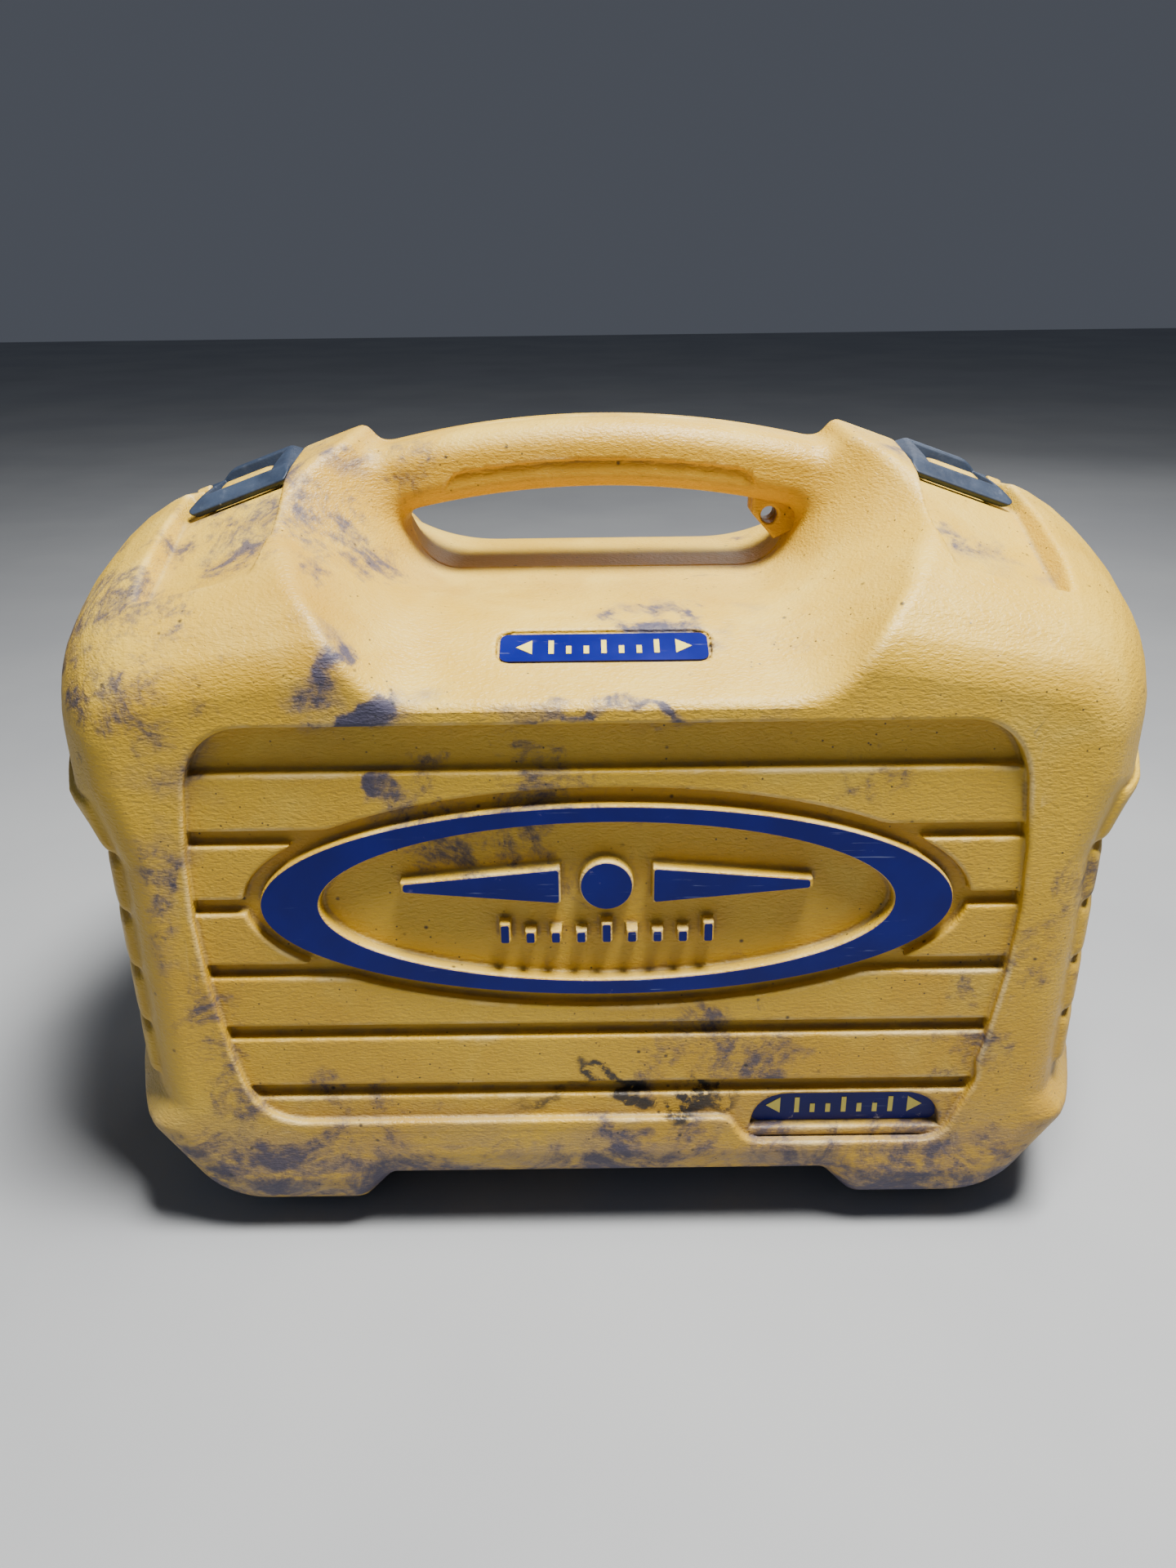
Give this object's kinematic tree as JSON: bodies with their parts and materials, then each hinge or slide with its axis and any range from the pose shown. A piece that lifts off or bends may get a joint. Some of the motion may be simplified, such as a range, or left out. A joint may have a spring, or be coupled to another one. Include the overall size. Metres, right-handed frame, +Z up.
{
  "type": "rotating laser level in carrying case",
  "caption": "Hard double-shell carrying case, hinged below and latched at its top corners, holding a rotating laser level and its beam receiver in foam.",
  "frame": {"origin": "on the ground, under the middle of the closed, standing case", "axes": "+X across the case to the side with the padlock eye, +Y from the lid to the base shell, +Z up; the parting plane is Y = 0"},
  "size_m": [0.426, 0.218, 0.301],
  "materials": {
    "shell_plastic": "grained polyethylene, worn and grimy",
    "foam": "closed-cell foam",
    "blue_film": "scratched gloss film",
    "yellow_print": "printed",
    "latch_plastic": "slate grey nylon, scuffed",
    "steel": "ground",
    "laser_body": "satin moulding",
    "laser_trim": "soft-touch overmould",
    "brass": "turned",
    "rubber": "matt",
    "lantern_glass": "clear",
    "rotor_metal": "anodised",
    "optics": "coated",
    "battery_wrap": "shrink wrap",
    "lamp_lens": "clear red",
    "circuit_board": "solder mask",
    "key_rubber": "silicone",
    "receiver_body": "fine grain",
    "sensor_window": "dark red filter",
    "display": "liquid crystal"
  },
  "bodies": {
    "base": {"base_shell": "shell_plastic", "base_foam": "foam", "latch_pin_left": "steel", "latch_pin_right": "steel", "hinge_pin_left": "steel", "hinge_pin_right": "steel", "rotor_bearing": "steel", "laser_housing": "laser_body", "battery_cover": "laser_body", "lantern_cap": "laser_body", "laser_base_plate": "laser_trim", "laser_carry_handle": "laser_trim", "keypad_panel": "laser_trim", "laser_tripod_bush": "brass", "laser_feet": "rubber", "lantern_glass": "lantern_glass", "laser_module": "rotor_metal", "levelling_frame": "rotor_metal", "rotor_motor": "rotor_metal", "battery_pack": "battery_wrap", "keypad_lamps": "lamp_lens", "control_board": "circuit_board", "receiver_front_shell": "receiver_body", "receiver_back_shell": "receiver_body", "receiver_window": "sensor_window", "receiver_display": "display"},
    "lid": {"lid_shell": "shell_plastic", "lid_foam": "foam", "emblem_film": "blue_film", "lower_plate": "blue_film", "lower_plate_marks": "yellow_print", "upper_plate": "blue_film", "upper_plate_marks": "yellow_print"},
    "latch_left": {"latch_left": "latch_plastic"},
    "latch_right": {"latch_right": "latch_plastic"},
    "rotor": {"rotor_head": "rotor_metal", "rotor_prism": "optics"},
    "battery_knob": {"battery_knob": "laser_trim"},
    "key_power": {"key_power": "key_rubber"},
    "key_up": {"key_up": "key_rubber"},
    "key_down": {"key_down": "key_rubber"},
    "key_speed": {"key_speed": "key_rubber"},
    "key_mode": {"key_mode": "key_rubber"},
    "receiver_key_power": {"receiver_key_power": "key_rubber"},
    "receiver_key_tone": {"receiver_key_tone": "key_rubber"}
  },
  "joints": [
    {"name": "lid_hinge", "type": "hinge", "parent": "base", "child": "lid", "pos_m": [0, 0, 0.007], "axis": [1, 0, 0], "range_deg": [0, 100]},
    {"name": "latch_right_flip", "type": "hinge", "parent": "base", "child": "latch_right", "pos_m": [0.1354, 0.019, 0.27726], "axis": [-0.9426, 0, 0.3338], "range_deg": [0, 100]},
    {"name": "latch_left_flip", "type": "hinge", "parent": "base", "child": "latch_left", "pos_m": [-0.1354, 0.019, 0.27726], "axis": [-0.9426, 0, -0.3338], "range_deg": [0, 100]},
    {"name": "rotor_spin", "type": "hinge", "parent": "base", "child": "rotor", "pos_m": [-0.011, 0, 0.126], "axis": [1, 0, 0], "continuous": true},
    {"name": "battery_knob_turn", "type": "hinge", "parent": "base", "child": "battery_knob", "pos_m": [-0.069, 0.06, 0.126], "axis": [0, 1, 0], "range_deg": [0, 90]},
    {"name": "key_power_press", "type": "slide", "parent": "base", "child": "key_power", "axis": [0, 1, 0], "range_m": [0, 0.001], "stiffness_N_per_m": 400, "springref_m": -0.0008},
    {"name": "key_up_press", "type": "slide", "parent": "base", "child": "key_up", "axis": [0, 1, 0], "range_m": [0, 0.001], "stiffness_N_per_m": 400, "springref_m": -0.0008},
    {"name": "key_down_press", "type": "slide", "parent": "base", "child": "key_down", "axis": [0, 1, 0], "range_m": [0, 0.001], "stiffness_N_per_m": 400, "springref_m": -0.0008},
    {"name": "key_speed_press", "type": "slide", "parent": "base", "child": "key_speed", "axis": [0, 1, 0], "range_m": [0, 0.001], "stiffness_N_per_m": 400, "springref_m": -0.0008},
    {"name": "key_mode_press", "type": "slide", "parent": "base", "child": "key_mode", "axis": [0, 1, 0], "range_m": [0, 0.001], "stiffness_N_per_m": 400, "springref_m": -0.0008},
    {"name": "receiver_power_press", "type": "slide", "parent": "base", "child": "receiver_key_power", "axis": [0, 1, 0], "range_m": [0, 0.0008], "stiffness_N_per_m": 400, "springref_m": -0.0008},
    {"name": "receiver_tone_press", "type": "slide", "parent": "base", "child": "receiver_key_tone", "axis": [0, 1, 0], "range_m": [0, 0.0008], "stiffness_N_per_m": 400, "springref_m": -0.0008}
  ]
}
